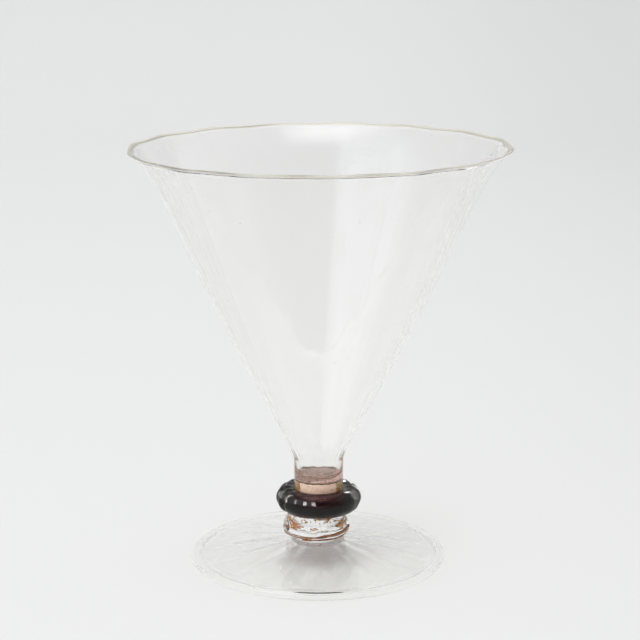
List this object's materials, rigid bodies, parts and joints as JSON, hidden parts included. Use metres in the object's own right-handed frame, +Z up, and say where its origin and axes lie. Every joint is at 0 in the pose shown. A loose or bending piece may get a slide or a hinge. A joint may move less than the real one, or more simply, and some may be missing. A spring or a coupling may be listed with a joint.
{
  "type": "glass goblet",
  "caption": "Blown glass goblet with a wide ribbed conical bowl, a dark ribbed stem ring, metal leaf in the stem and a broad disc foot.",
  "frame": {"origin": "middle of the resting face under the foot, on the goblet's axis", "axes": "+Z up through the stem to the rim, -Y towards the viewer, +X to the viewer's right"},
  "size_m": [0.1334, 0.1334, 0.1504],
  "materials": {
    "clear_glass": "clear soda glass, fire polished, with soft mould ribs",
    "dark_glass": "very dark red amethyst glass, glossy",
    "metal_leaf": "torn rose copper leaf sealed under glass",
    "copper_trail": "glossy copper brown trailed glass"
  },
  "bodies": {
    "root": {"foot": "clear_glass", "lower_knop": "clear_glass", "copper_thread": "copper_trail", "leaf_flake_left": "metal_leaf", "leaf_flake_front": "metal_leaf", "leaf_flake_right": "metal_leaf", "stem_core": "clear_glass", "leaf_band": "metal_leaf", "ribbed_ring": "dark_glass", "leaf_disc": "metal_leaf", "bowl": "clear_glass"}
  },
  "joints": []
}
